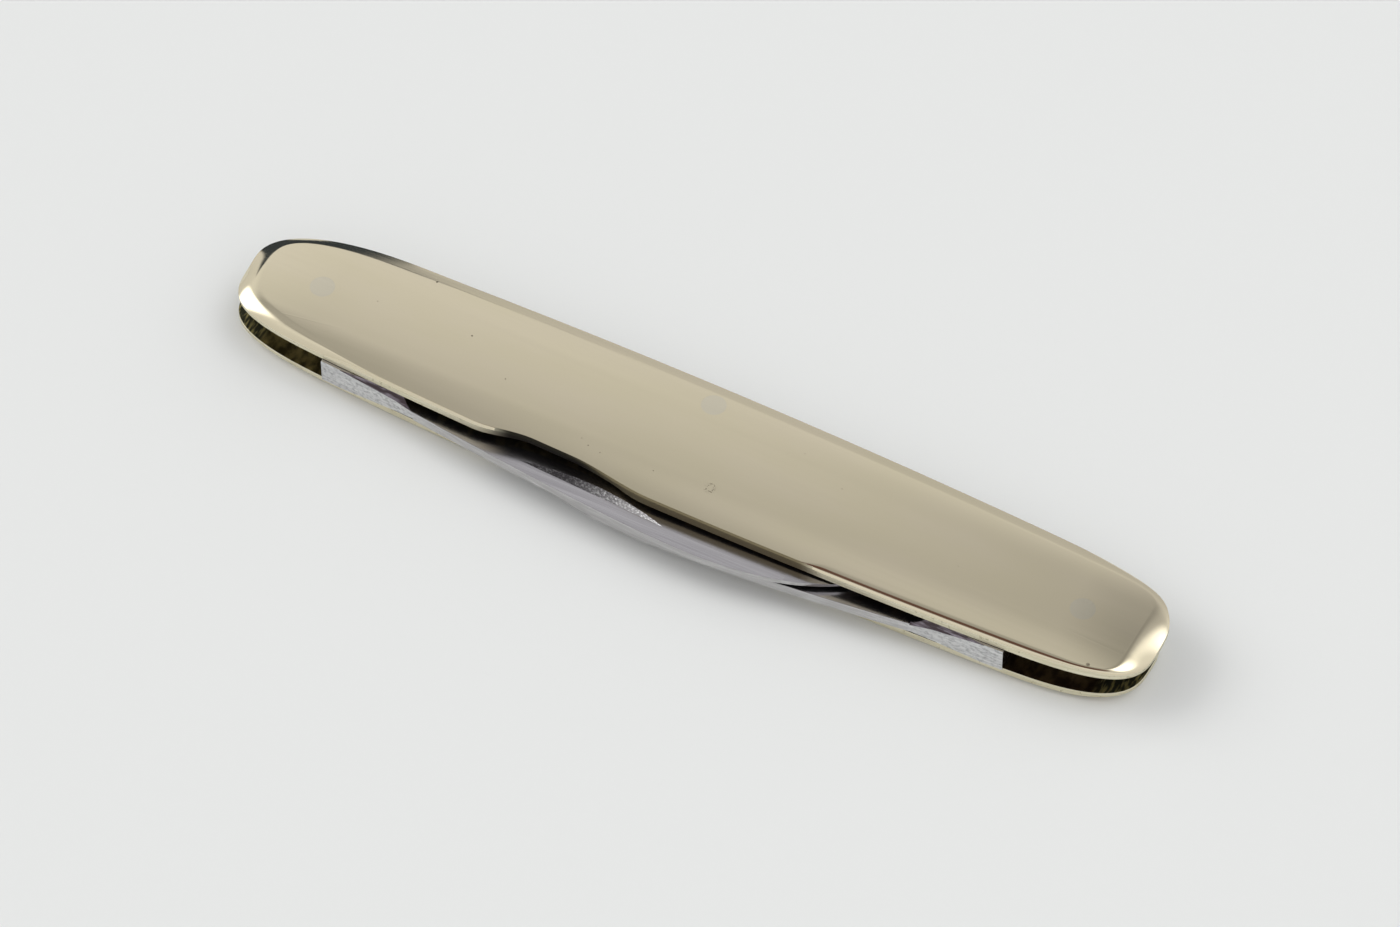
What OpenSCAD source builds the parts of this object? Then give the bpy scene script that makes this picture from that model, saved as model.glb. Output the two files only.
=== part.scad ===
// Two-blade folding pen knife with bare metal scales, shown closed and lying on its back scale.
// X runs along the handle, +Y is the spring side, -Y is the open side and +Z is the front.
// The origin is on the flat underside, half way between the two pivot pins.

/* [Handle] */
// Length of the handle from end to end
handle_l = 83.6; // [78:0.1:92]
// Width of the handle across its middle
handle_w = 13.0; // [12.6:0.1:15]
// How much narrower each long side draws in by the ends of the handle
side_sag = 1.3; // [0.6:0.05:1.6]
// Length of the rounding at each end of the handle
end_round_l = 13; // [9:0.5:16]
// Squareness of the rounded ends, where 2 is an ellipse
end_power = 3.4; // [2.6:0.1:4]
// Thickness of each scale at its middle
scale_t = 1.2; // [1.1:0.05:1.6]
// Height of the upright rim round each scale
rim_h = 0.65; // [0.4:0.05:0.7]
// Width of the rounded edge above the rim, in plan
edge_w = 1.3; // [0.6:0.1:1.4]
// Height of the low crown inside the rounded edge
crown_h = 0.13; // [0.08:0.01:0.15]
// Width of the band over which the low crown rises
crown_w = 2.6; // [2:0.1:3]
// Slope left at the ridge where that band meets the flat middle
ridge_slope = 0.015; // [0:0.005:0.05]

/* [Finger cut] */
// Place of the middle of the finger cut along the handle
cut_x = -8.5; // [-14:0.5:0]
// Depth of the finger cut in the open side of both scales
cut_depth = 0.75; // [0.3:0.05:1]
// Length of the finger cut along the open side
cut_l = 33; // [24:1:40]

/* [Channel] */
// Height of the channel between the scales, which is the thickness of the spring
channel_h = 2.55; // [2.4:0.05:3.4]

/* [Pins] */
// Distance of each pivot pin from its end of the handle
pivot_inset = 6.8; // [6.2:0.1:8]
// Diameter of the two pivot pins
pivot_d = 2.1; // [1.6:0.1:2.6]
// Diameter of the pin through the middle of the spring
spring_pin_d = 2.1; // [1.4:0.1:2.4]
// Place of the spring pin along the handle
spring_pin_x = -0.7; // [-4:0.1:4]
// Distance of the spring pin from the line of the pivots
spring_pin_y = 4.35; // [4.2:0.05:4.5]

/* [Tangs] */
// Distance of the tang's two flats from its pivot
tang_flat = 3.5; // [3:0.05:3.7]
// How far the round end of the tang stands out past its flats
tang_cam = 0.06; // [0.02:0.01:0.2]
// Length of the tang's straight flat on the spring side
tang_flat_l = 5.5; // [4.5:0.1:6.5]
// Length of the full-thickness part of a tang, measured from its pivot
tang_l = 10.4; // [9:0.1:12]
// Distance from the pivot line to the kick that keeps the edge off the spring
kick_y = 2.1; // [1.5:0.1:2.4]
// Distance from the pivot line to the square end of the tang's back
step_back_y = 6.0; // [5.6:0.05:6.2]
// Distance from the pivot line to the tang's back where the shoulder begins
tang_back_y = 6.35; // [6.2:0.05:6.6]
// Thickness left at the tang's back edge where the ground bevel along it runs out into the blade
bevel_t = 1.2; // [1:0.05:1.4]
// Depth of that bevel at the square end of the back
bevel_start = 0.15; // [0.05:0.05:0.3]
// Slope of that bevel across the tang, in degrees
bevel_slope = 40; // [30:1:55]
// Length of the sloping shoulder between tang and blade
shoulder_l = 1.8; // [1:0.1:3]
// Length of the slope from the tang's flat down to the kick
kick_slope_l = 2.5; // [1.5:0.1:3]
// Length of the step from the kick to the start of the cutting edge, past the shoulder
heel_l = 0.6; // [0.2:0.1:1.5]

/* [Master blade] */
// Distance left between the point of the closed master blade and the pen blade's pivot
master_point_x = 17; // [15.5:0.1:20]
// Distance from the pivot to the square end of the master blade's back
master_step = 3.2; // [2.6:0.1:4.4]
// Distance from the pivot line to the outermost point of the master blade's back
master_back_y = 8.9; // [7.6:0.05:9.4]
// Distance from the point of the master blade to the outermost point of its back
master_crest_l = 14.7; // [12:0.1:18]
// Distance from the pivot to the middle of the master blade's nail nick
master_nick_x = 28.9; // [26:0.1:32]

/* [Pen blade] */
// Distance left between the point of the closed pen blade and the master blade's pivot
pen_point_x = 20; // [15.5:0.1:22]
// Distance from the pivot to the square end of the pen blade's back
pen_step = 4.1; // [2.6:0.1:4.4]
// Distance from the pivot line to the outermost point of the pen blade's back
pen_back_y = 8.45; // [7.6:0.05:9.4]
// Distance from the point of the pen blade to the outermost point of its back
pen_crest_l = 12.5; // [11:0.1:18]
// Distance from the pivot to the middle of the pen blade's nail nick
pen_nick_x = 28; // [25:0.1:31]

/* [Blade outline] */
// Length over which a blade's back rises from the shoulder
back_rise_l = 6.6; // [4:0.1:9]
// How far a blade's back rises over that length
back_rise = 0.85; // [0.4:0.05:1.2]
// Length of the level part of a blade's back before its outermost point
back_level_l = 6.8; // [4:0.1:9]
// Length of the level part of a blade's back after its outermost point
back_fall_l = 7; // [3:0.1:8]
// Distance back from the point at which a blade's back turns in towards it
point_turn_l = 2.6; // [1:0.1:4]
// How far outside the point a blade's back stands at that turn
point_turn = 2.6; // [1.6:0.1:3]
// Length of the curve that the cutting edge makes up to the point
belly_l = 17; // [14:0.5:20]
// Length of the straight run of that curve before it begins to bend
belly_straight_l = 8; // [4:0.5:10]
// Distance back from the point at which the cutting edge turns in towards it
belly_turn_l = 4; // [2:0.1:5]
// How far inside the point the cutting edge stands at that turn
belly_turn = 3.2; // [2:0.1:3.6]

/* [Blade grind] */
// Thickness of a blade's back where it leaves the shoulder
back_t = 1.2; // [0.8:0.05:1.35]
// Thickness of a blade at the cutting edge beside the shoulder
heel_t = 0.5; // [0.3:0.05:0.8]
// Thickness of a blade at the cutting edge by the point
edge_t = 0.12; // [0.08:0.01:0.25]
// Distance from the pivot line to the straight part of the cutting edge
edge_y = 0.4; // [0:0.1:1]
// Distance from the pivot line to the point of a blade
point_y = 4.6; // [3:0.1:5]
// Gap between a blade's outer face and its scale at the shoulder
shoulder_gap = 0.75; // [0.5:0.05:0.9]
// Gap between a blade's outer face and its scale at the point
point_gap = 0.15; // [0.1:0.01:0.3]
// Gap between the two blades where they pass each other
pass_gap = 0.29; // [0.2:0.01:0.4]

/* [Nail nicks] */
// Length of a nail nick
nick_l = 14.4; // [10:0.2:18]
// Greatest width of a nail nick
nick_w = 1.0; // [0.7:0.05:1.4]
// Depth of a nail nick at its steep side
nick_depth = 0.3; // [0.15:0.01:0.35]
// Distance from the outermost point of a blade's back to the steep side of its nail nick
nick_inset = 1.8; // [1.4:0.05:2.2]
// Angle in plan between the nail nick and the blade's middle line, in degrees
nick_slant = 2.6; // [0:0.2:4]

/* [Spring] */
// Distance from the pivot line to the spring's inner face along its middle
spring_mid_y = 2.5; // [2.3:0.05:2.9]
// Length of the spring's thick middle
spring_mid_l = 30; // [20:1:38]
// Length of each slope from the thick middle to a spring arm
spring_slope_l = 8; // [5:0.5:10]

/* [Clearances] */
// Gap between a tang's side and the scale beside it
side_gap = 0.05; // [0.03:0.01:0.1]
// Gap between the round end of a tang and the spring
cam_gap = 0.08; // [0.05:0.01:0.2]
// Gap between an open blade's square end and the end of the spring
stop_gap = 0.06; // [0.03:0.01:0.15]
// Radial gap between a pivot pin and the bore of its blade
bore_gap = 0.05; // [0.02:0.01:0.1]
// Radial gap between a pin and the holes of the pieces that it holds together
hole_gap = 0.01; // [0.01:0.01:0.03]

/* [Hidden] */

// Colours of the pieces
scale_colour = [0.76, 0.71, 0.60];
spring_colour = [0.62, 0.61, 0.60];
blade_colour = [0.70, 0.68, 0.71];
pin_colour = [0.69, 0.67, 0.66];

// Steps along each curve of the outlines, and up the rounded edge and the crown
side_steps = 10;
end_steps = 16;
curve_steps = 14;
edge_steps = 6;
crown_steps = 3;
// Sides of the drawn circle of pins, bores and tangs
round_fn = 96;
// A thin sheet that carries one section of a hull, and a small overshoot for cuts
sheet = 0.01;
over = 1;

half_l = handle_l / 2;
half_span = half_l - pivot_inset;
master_l = 2 * half_span - master_point_x;
pen_l = 2 * half_span - pen_point_x;
end_start = half_l - end_round_l;
floor_z = scale_t;
roof_z = scale_t + channel_h;
mid_z = scale_t + channel_h / 2;
total_t = 2 * scale_t + channel_h;
tang_t = channel_h - 2 * side_gap;
cam_r = tang_flat + tang_cam;
spring_arm_y = cam_r + cam_gap;
blade_start = tang_l + shoulder_l;

// Half width of the handle at a place along it
function arch(x) = handle_w / 2 - side_sag * pow(x / half_l, 2);
// Fraction of that width which is left within the rounded end
function end_share(s) = pow(max(0, 1 - pow(s, end_power)), 1 / end_power);
// Places along one quarter of an outline drawn in by an inset, close together towards the end
function quarter_x(inset) = concat(
    [for (i = [0:side_steps - 1]) end_start * i / side_steps],
    [for (i = [0:end_steps]) end_start + (end_round_l - inset) * sin(90 * i / end_steps)]
);
function edge_at(x, inset) = (arch(x) - inset)
    * (x <= end_start ? 1 : end_share((x - end_start) / (end_round_l - inset)));
// The whole outline, drawn in by an inset, anticlockwise from the middle of the closed side
function outline(inset = 0) = let (
    quarter = [for (x = quarter_x(inset)) [x, edge_at(x, inset)]],
    last = len(quarter) - 1
) concat(
    [for (i = [0:last]) [-quarter[i][0], quarter[i][1]]],
    [for (i = [last - 1:-1:0]) [-quarter[i][0], -quarter[i][1]]],
    [for (i = [1:last]) [quarter[i][0], -quarter[i][1]]],
    [for (i = [last - 1:-1:1]) [quarter[i][0], quarter[i][1]]]
);

// Radius of the finger cut, which takes away the bulge of the side and the depth besides
cut_sag = cut_depth + side_sag * pow(cut_l / handle_l, 2);
cut_r = (pow(cut_l / 2, 2) + pow(cut_sag, 2)) / (2 * cut_sag);

// The crown's band starts at the slope that gives its height, and eases to the slope at the ridge
crown_slope = 2 * crown_h / crown_w - ridge_slope;
// Height of a scale's outer surface above its inner face, at a distance in from its edge
function crown_at(inset) = let (s = min(1, (inset - edge_w) / crown_w))
    scale_t - crown_h + crown_w * s * (crown_slope + (ridge_slope - crown_slope) * s / 2);

// The rounded edge is an arc of an ellipse, upright at the rim and at the crown's slope where they meet
edge_rise = scale_t - crown_h - rim_h;
edge_turn = acos(crown_slope * edge_w / (edge_rise - crown_slope * edge_w));
edge_reach = edge_w / (1 - cos(edge_turn));
edge_height = edge_rise / sin(edge_turn);

// Points on a cubic curve between two ends with two handles
function curve(a, b, c, d) = [
    for (i = [0:curve_steps])
        let (t = i / curve_steps, u = 1 - t)
        u * u * u * a + 3 * u * u * t * b + 3 * u * t * t * c + t * t * t * d
];

// Heights of a blade's outer and inner faces from the middle of the channel, by distance from its pivot
function outer_z(x, l) = let (
    z_start = channel_h / 2 - shoulder_gap,
    z_point = channel_h / 2 - point_gap
) z_start + (z_point - z_start) * (x - blade_start) / (l - blade_start);
function inner_z(x) = let (z_start = channel_h / 2 - shoulder_gap - back_t)
    z_start + (pass_gap / 2 - z_start) * (x - blade_start) / (half_span - blade_start);

module pin_hole(x, y, d) {
    translate([x, y, -over])
        cylinder(d = d + 2 * hole_gap, h = total_t + 2 * over, $fn = round_fn);
}

module all_pin_holes() {
    pin_hole(-half_span, 0, pivot_d);
    pin_hole(half_span, 0, pivot_d);
    pin_hole(spring_pin_x, spring_pin_y, spring_pin_d);
}

// Inset and height of each level of a scale, from its inner face up to the flat of its crown
scale_levels = concat(
    [[0, 0]],
    [for (i = [0:edge_steps])
        let (a = edge_turn * i / edge_steps) [edge_reach * (1 - cos(a)), rim_h + edge_height * sin(a)]],
    [for (i = [1:crown_steps])
        let (inset = edge_w + crown_w * i / crown_steps) [inset, crown_at(inset)]]
);

// A solid through like outlines at rising heights, closed flat at both ends
module stacked(levels) {
    rings = [for (v = levels) outline(v[0])];
    n = len(rings[0]);
    m = len(rings) - 1;
    polyhedron(
        points = [for (j = [0:m]) for (q = rings[j]) [q[0], q[1], levels[j][1]]],
        faces = concat(
            [[for (i = [0:n - 1]) i]],
            [for (j = [0:m - 1]) for (i = [0:n - 1]) [j * n + i, (j + 1) * n + (i + 1) % n, j * n + (i + 1) % n]],
            [for (j = [0:m - 1]) for (i = [0:n - 1]) [j * n + i, (j + 1) * n + i, (j + 1) * n + (i + 1) % n]],
            [[for (i = [n - 1:-1:0]) m * n + i]]
        )
    );
}

// A scale with its inner face at z = 0 and its crowned outer face up
module scale_body() {
    difference() {
        stacked(scale_levels);
        translate([cut_x, -(arch(cut_x) - cut_depth) - cut_r, -over])
            cylinder(r = cut_r, h = scale_t + 2 * over, $fn = 720);
    }
}

module back_scale() {
    color(scale_colour)
        difference() {
            translate([0, 0, floor_z])
                mirror([0, 0, 1])
                    scale_body();
            all_pin_holes();
        }
}

module front_scale() {
    color(scale_colour)
        difference() {
            translate([0, 0, roof_z])
                scale_body();
            all_pin_holes();
        }
}

// The spring lies flush with the handle's closed side and ends where the open blades' backs stop
module backspring() {
    left_end = -half_span - master_step + stop_gap;
    right_end = half_span + pen_step - stop_gap;
    arm_x = spring_mid_l / 2 + spring_slope_l;
    color(spring_colour)
        difference() {
            translate([0, 0, floor_z])
                linear_extrude(channel_h)
                    intersection() {
                        polygon(outline());
                        polygon([
                            [left_end, handle_w], [left_end, spring_arm_y],
                            [-arm_x, spring_arm_y], [-spring_mid_l / 2, spring_mid_y],
                            [spring_mid_l / 2, spring_mid_y], [arm_x, spring_arm_y],
                            [right_end, spring_arm_y], [right_end, handle_w]
                        ]);
                    }
            pin_hole(spring_pin_x, spring_pin_y, spring_pin_d);
        }
}

// Plan of a blade's back, from the shoulder over its outermost point to the tip
function back_curve(l, bx, by) = concat(
    curve(
        [tang_l, -tang_back_y], [tang_l + back_rise_l, -tang_back_y - back_rise],
        [bx - back_level_l, -by], [bx, -by]
    ),
    curve(
        [bx, -by], [bx + back_fall_l, -by],
        [l - point_turn_l, -point_y - point_turn], [l, -point_y]
    )
);
// Plan of a blade's cutting edge, from the tip to the straight part
function edge_curve(l) = curve(
    [l, -point_y], [l - belly_turn_l, -point_y + belly_turn],
    [l - belly_l + belly_straight_l, edge_y], [l - belly_l, edge_y]
);

// Plan of the whole blade with its tang, pivot at the origin and back on the -Y side
module blade_plan(l, step_x, bx, by) {
    difference() {
        union() {
            circle(r = cam_r, $fn = round_fn);
            polygon(concat(
                [[0, -tang_flat], [step_x, -tang_flat], [step_x, -step_back_y]],
                back_curve(l, bx, by),
                edge_curve(l),
                [
                    [blade_start + heel_l, edge_y], [tang_l, kick_y],
                    [tang_flat_l + kick_slope_l, kick_y], [tang_flat_l, tang_flat], [0, tang_flat]
                ]
            ));
        }
        // the flats cut the round end on both sides
        translate([-cam_r, tang_flat])
            square([cam_r + tang_flat_l, cam_r]);
        translate([-cam_r, -tang_flat - cam_r])
            square([cam_r + step_x, cam_r]);
    }
}

// Ground bevel along the edge of a tang's back, above it, from the square end to the shoulder
module back_bevel(step_x) {
    rise = tang_t / 2 - bevel_start - bevel_t / 2;
    run = blade_start - step_x;
    translate([step_x, -tang_back_y, tang_t / 2 - bevel_start])
        rotate([bevel_slope, atan(rise / run), 0])
            translate([-over, -over, 0])
                cube([run + over, 4 * over, 2 * over]);
}

// Thin upright section across a blade at x, thick at the back and thin at the cutting edge
module blade_section(x, z_outer, z_inner, thin, by) {
    z_edge = (z_outer + z_inner) / 2;
    translate([x, 0, 0])
        rotate([90, 0, 90])
            linear_extrude(sheet)
                polygon([
                    [-by, z_inner], [edge_y + over, z_edge - thin / 2],
                    [edge_y + over, z_edge + thin / 2], [-by, z_outer]
                ]);
}

// One blade with its pivot at the origin, the middle of the channel at z = 0 and its outer face up
module blade(l, step_x, bx, by, nick_x) {
    nick_r = (pow(nick_l / 2, 2) + pow(nick_depth, 2)) / (2 * nick_depth);
    nick_tilt = atan(nick_depth / nick_w);
    face_tilt = atan((outer_z(l, l) - outer_z(blade_start, l)) / (l - blade_start));
    difference() {
        intersection() {
            translate([0, 0, -tang_t / 2])
                linear_extrude(tang_t)
                    blade_plan(l, step_x, bx, by);
            union() {
                translate([-cam_r - over, -by - over, -tang_t / 2])
                    cube([tang_l + cam_r + over, by + cam_r + 2 * over, tang_t]);
                hull() {
                    blade_section(tang_l - sheet, tang_t / 2, -tang_t / 2, tang_t, by);
                    blade_section(blade_start, outer_z(blade_start, l), inner_z(blade_start), heel_t, by);
                }
                hull() {
                    blade_section(blade_start, outer_z(blade_start, l), inner_z(blade_start), heel_t, by);
                    blade_section(l, outer_z(l, l), inner_z(l), edge_t, by);
                }
            }
        }
        translate([0, 0, -over - tang_t / 2])
            cylinder(r = pivot_d / 2 + bore_gap, h = tang_t + 2 * over, $fn = round_fn);
        for (side = [0, 1])
            mirror([0, 0, side])
                back_bevel(step_x);
        translate([nick_x, -by + nick_inset, outer_z(nick_x, l) - nick_depth])
            rotate([nick_tilt - 90, -face_tilt, -nick_slant])
                translate([0, -nick_r, 0])
                    cylinder(r = nick_r, h = 2 * nick_w, $fn = 360);
    }
}

module master_blade() {
    color(blade_colour)
        translate([-half_span, 0, mid_z])
            blade(master_l, master_step, master_l - master_crest_l, master_back_y, master_nick_x);
}

// The pen blade is the same pattern turned half round the handle's short axis
module pen_blade() {
    color(blade_colour)
        translate([half_span, 0, mid_z])
            rotate([0, 180, 0])
                blade(pen_l, pen_step, pen_l - pen_crest_l, pen_back_y, pen_nick_x);
}

// Levels of the whole closed handle, from the flat underside to the flat of the front
handle_levels = concat(
    [for (j = [len(scale_levels) - 1:-1:0]) [scale_levels[j][0], floor_z - scale_levels[j][1]]],
    [for (v = scale_levels) [v[0], roof_z + v[1]]]
);

// A pin whose two ends are dressed flush with the crowned scales
module flush_pin(x, y, d) {
    color(pin_colour)
        intersection() {
            translate([x, y, -over])
                cylinder(d = d, h = total_t + 2 * over, $fn = round_fn);
            stacked(handle_levels);
        }
}

module master_pivot_pin() {
    flush_pin(-half_span, 0, pivot_d);
}

module pen_pivot_pin() {
    flush_pin(half_span, 0, pivot_d);
}

module spring_pin() {
    flush_pin(spring_pin_x, spring_pin_y, spring_pin_d);
}

back_scale();
front_scale();
backspring();
master_blade();
pen_blade();
master_pivot_pin();
pen_pivot_pin();
spring_pin();
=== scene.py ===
import math

import bmesh
import bpy
from mathutils import Matrix, Vector


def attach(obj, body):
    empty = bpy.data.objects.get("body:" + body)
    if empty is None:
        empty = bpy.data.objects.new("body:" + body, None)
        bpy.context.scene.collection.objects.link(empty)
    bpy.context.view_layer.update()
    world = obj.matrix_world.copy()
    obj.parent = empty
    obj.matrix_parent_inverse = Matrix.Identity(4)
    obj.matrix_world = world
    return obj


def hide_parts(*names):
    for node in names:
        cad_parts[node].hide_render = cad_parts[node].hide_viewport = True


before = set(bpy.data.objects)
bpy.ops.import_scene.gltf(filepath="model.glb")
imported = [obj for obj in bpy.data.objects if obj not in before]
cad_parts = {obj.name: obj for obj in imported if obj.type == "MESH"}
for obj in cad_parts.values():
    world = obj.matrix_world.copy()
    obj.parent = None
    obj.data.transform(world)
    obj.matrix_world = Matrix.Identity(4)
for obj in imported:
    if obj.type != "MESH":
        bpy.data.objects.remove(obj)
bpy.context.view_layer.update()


# The table, the light and the camera
# The closed knife lies on a plain pale table top under a soft white studio light, and is seen
# from its open side, half way up.
camera_height = math.radians(53.16)
camera_turn = math.radians(27.94)
camera_lens = 192.857
camera_far = 0.61517
looked_at = Vector((-0.000617, 0.001776, 0))

across = Vector((math.cos(camera_turn), math.sin(camera_turn), 0))
level_ahead = Vector((-math.sin(camera_turn), math.cos(camera_turn), 0))
ahead = level_ahead * math.cos(camera_height) - Vector((0, 0, math.sin(camera_height)))
above = across.cross(ahead)
camera = bpy.data.objects.new("camera", bpy.data.cameras.new("camera"))
bpy.context.collection.objects.link(camera)
camera.data.lens = camera_lens
camera.data.sensor_width = 36
camera.data.clip_start = 0.01
camera.data.clip_end = 20
turned = Matrix((across, above, -ahead)).transposed().to_4x4()
camera.matrix_world = Matrix.Translation(looked_at - ahead * camera_far) @ turned
bpy.context.scene.camera = camera
bpy.context.scene.view_settings.view_transform = "Standard"


class Tone:
    """One number, colour or direction on its way through a material's nodes"""

    def __init__(self, tree, socket=None):
        self.tree = tree
        self.socket = socket

    def node(self, kind, settings, values, output=0):
        made = self.tree.nodes.new(kind)
        for name, value in settings.items():
            if name == "stops":
                ramp = made.color_ramp
                while len(ramp.elements) < len(value):
                    ramp.elements.new(1)
                for stop, (place, colour) in zip(ramp.elements, value):
                    stop.position = place
                    stop.color = (*colour, 1)
            else:
                setattr(made, name, value)
        for name, value in values.items():
            if isinstance(value, Tone):
                self.tree.links.new(value.socket, made.inputs[name])
            else:
                made.inputs[name].default_value = value
        return Tone(self.tree, made.outputs[output])

    def maths(self, operation, first, second=0.0):
        return self.node("ShaderNodeMath", {"operation": operation}, {0: first, 1: second})

    def __add__(self, other):
        return self.maths("ADD", self, other)

    def __radd__(self, other):
        return self.maths("ADD", other, self)

    def __sub__(self, other):
        return self.maths("SUBTRACT", self, other)

    def __rsub__(self, other):
        return self.maths("SUBTRACT", other, self)

    def __mul__(self, other):
        return self.maths("MULTIPLY", self, other)

    def __truediv__(self, other):
        return self.maths("DIVIDE", self, other)

    def __pow__(self, other):
        return self.maths("POWER", self, other)

    def apart(self):
        """The three numbers of a direction or place"""
        return [self.node("ShaderNodeSeparateXYZ", {}, {0: self}, axis) for axis in range(3)]

    def ranged(self, low, high, to_low=0.0, to_high=1.0):
        """The number eased from one range to another, and held at both ends"""
        return self.node(
            "ShaderNodeMapRange", {"interpolation_type": "SMOOTHSTEP"},
            {0: self, 1: low, 2: high, 3: to_low, 4: to_high},
        )

    def blended(self, first, second):
        """A colour between two others, with this number as the share of the second"""
        return self.node(
            "ShaderNodeMix", {"data_type": "RGBA"}, {"Factor": self, 6: first, 7: second}, 2
        )


def shaded(name, kind):
    """A material with its surface node, and a starting point for its tones"""
    made = bpy.data.materials.new(name)
    made.use_nodes = True
    made.node_tree.nodes.clear()
    surface = made.node_tree.nodes.new(kind)
    output = made.node_tree.nodes.new("ShaderNodeOutputMaterial")
    made.node_tree.links.new(surface.outputs[0], output.inputs["Surface"])
    return made, surface, Tone(made.node_tree)


def direction(turn, height):
    """A direction by its angle round from +Y towards +X and its angle above the table"""
    turn, height = math.radians(turn), math.radians(height)
    flat = math.cos(height)
    return Vector((math.sin(turn) * flat, math.cos(turn) * flat, math.sin(height)))


# the room is pale, with two soft lights, a dark card behind on the left, a warm shade high in
# front and a dim ceiling
world = bpy.data.worlds.new("studio")
world.use_nodes = True
bpy.context.scene.world = world
lit = world.node_tree.nodes["Background"]
facing = Tone(world.node_tree).node("ShaderNodeTexCoord", {}, {})
east, north, upward = facing.apart()
rise = upward.maths("ARCSINE", upward) * (180 / math.pi)
turn = upward.maths("ARCTAN2", east, north) * (180 / math.pi)


def patch(turned_to, height, inner, outer):
    """Share of a round soft patch of the room, from 1 inside one angle to 0 beyond the other"""
    centre = direction(turned_to, height)
    near = east * centre.x + north * centre.y + upward * centre.z
    return near.ranged(math.cos(math.radians(outer)), math.cos(math.radians(inner)))


walls = (rise / 90).node("ShaderNodeValToRGB", {"stops": [
    (angle / 90, (grey, grey, grey)) for angle, grey in (
        (0, 0.62), (15, 0.66), (32, 0.68), (43, 0.76), (49, 0.72), (53, 0.62), (56.5, 0.52),
        (60, 0.58), (67, 0.62), (76, 0.54), (90, 0.42),
    )
]}, {0: rise / 90})
left_wall = turn.ranged(-5, -40, 0.84, 1.12)
right_wall = turn.ranged(2, 42, 0.0, 0.34)
dusk_ahead = turn.ranged(-27, -18) * turn.ranged(12, -6) * rise.ranged(43, 51)
dusk_left = turn.ranged(-31, -41) * rise.ranged(51, 58)
level = (left_wall + right_wall) * (1 - (dusk_ahead + dusk_left) * 0.32)
left_lamp = patch(-99, 36, 6, 24) * 3.0
right_lamp = patch(62, 67, 6, 23) * 1.9
room_light = walls.node(
    "ShaderNodeVectorMath", {"operation": "MULTIPLY_ADD"},
    {0: walls, 1: level, 2: left_lamp + right_lamp},
)
warm_shade = patch(-170, 67, 11, 21) * 0.92
room_light = warm_shade.blended(room_light, (0.10, 0.035, 0.022, 1))
card_edge = turn + (rise / 33) ** 1.6 * 3.2
card = turn.ranged(-57, -52) * card_edge.ranged(-19.4, -20.4) * rise.ranged(41, 38.5) * 0.97
room_light = card.blended(room_light, (0.022, 0.032, 0.046, 1))
world.node_tree.links.new(room_light.socket, lit.inputs["Color"])
lit.inputs["Strength"].default_value = 1.05

table_steps = 96
table_r = 3
bpy.ops.object.select_all(action="DESELECT")
bpy.ops.mesh.primitive_circle_add(vertices=table_steps, radius=table_r, fill_type="NGON")
table_top = bpy.context.object
table_top.name = "table_top"
table_white, table_surface, _ = shaded("table_white", "ShaderNodeBsdfPrincipled")
table_surface.inputs["Base Color"].default_value = (0.81, 0.823, 0.814, 1)
table_surface.inputs["Roughness"].default_value = 0.9
table_surface.inputs["Specular IOR Level"].default_value = 0.2
table_top.data.materials.append(table_white)


# Scales
# The two handle covers are stampings of nickel silver with an upright rim, a rounded edge and a
# low crown, held by the three pins. They are mirror polished outside, ground satin on the rims and
# left dull inside, and both have a shallow finger cut in the open side. Their colours carry painted
# shade, deep inside the channel and on the rim and lip over the blades, and painted light at the
# open ends inside.
mm = 0.001
handle_w = 13.0 * mm
half_l = 41.8 * mm
side_sag = 1.3 * mm
end_start = 28.8 * mm
scale_t = 1.2 * mm
end_rim = 0.4 * mm
front_rim = 0.68 * mm
back_rim = 0.6 * mm
closed_rim = 0.76 * mm
left_closed_rim = 0.84 * mm
# ends are -1 at the left and 1 at the right, and sides are -1 for the open one and 1 for the closed
tip_edge_l = {-1: 1.4 * mm, 1: 2.0 * mm}
corner_edge_l = {
    (-1, 1): 0.85 * mm, (-1, -1): 2.1 * mm, (1, 1): 2.0 * mm, (1, -1): 2.0 * mm,
}
closed_edge_w = 0.95 * mm
open_edge_w = 0.75 * mm
left_edge_w = 1.5 * mm
open_curve = 3.0
left_open_curve = 2.3
closed_curve = 1.6
left_closed_curve = 1.25
crown_slope = 0.015
crown_bend = 13.5
ridge_y = 2.6 * mm
ridge_splay = 0.4 * mm
dome_start = 34 * mm
dome_l = 5 * mm
dome_fall = 0.06 * mm
centre_rise = 0.03 * mm
channel_h = 2.55 * mm
inner_chamfer = 0.03 * mm
end_inset_share = 0.6
cut_depth = 0.72 * mm
lip_rim = 0.82 * mm
lip_w = 0.18 * mm
lip_face_w = lip_w * 0.8
lip_foot = 0.42 * mm
lip_under = 0.6 * mm
# where along the handle one form runs into the next
cut_left = (-17.5 * mm, -12 * mm)
cut_right = (-1 * mm, -8.5 * mm)
thin_left = (-33 * mm, -26 * mm)
lip_left = (-17 * mm, -14 * mm)
lip_right = (15 * mm, 12.5 * mm)
undercut_right = (-2 * mm, -5 * mm)
left_edge_run = (-28 * mm, -40 * mm)
left_curve_run = (-28 * mm, -38 * mm)
left_closed_run = (-24 * mm, -30 * mm)
right_curve_run = (39.5 * mm, 36.5 * mm)
low_left_run = (-22 * mm, -38 * mm)
low_right_run = (36 * mm, 41 * mm)
# where across the handle the closed side's form runs into the open side's
curve_run = (2.5 * mm, -2.5 * mm)
rim_run = (3 * mm, -2 * mm)
left_rim_start = 1.6 * mm
undercut_y = -3 * mm
floor_z = scale_t
roof_z = scale_t + channel_h
mid_z = scale_t + channel_h / 2
side_steps = 56
end_steps = 64
edge_steps = 20
crown_steps = 14
middle_steps = 16
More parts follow.
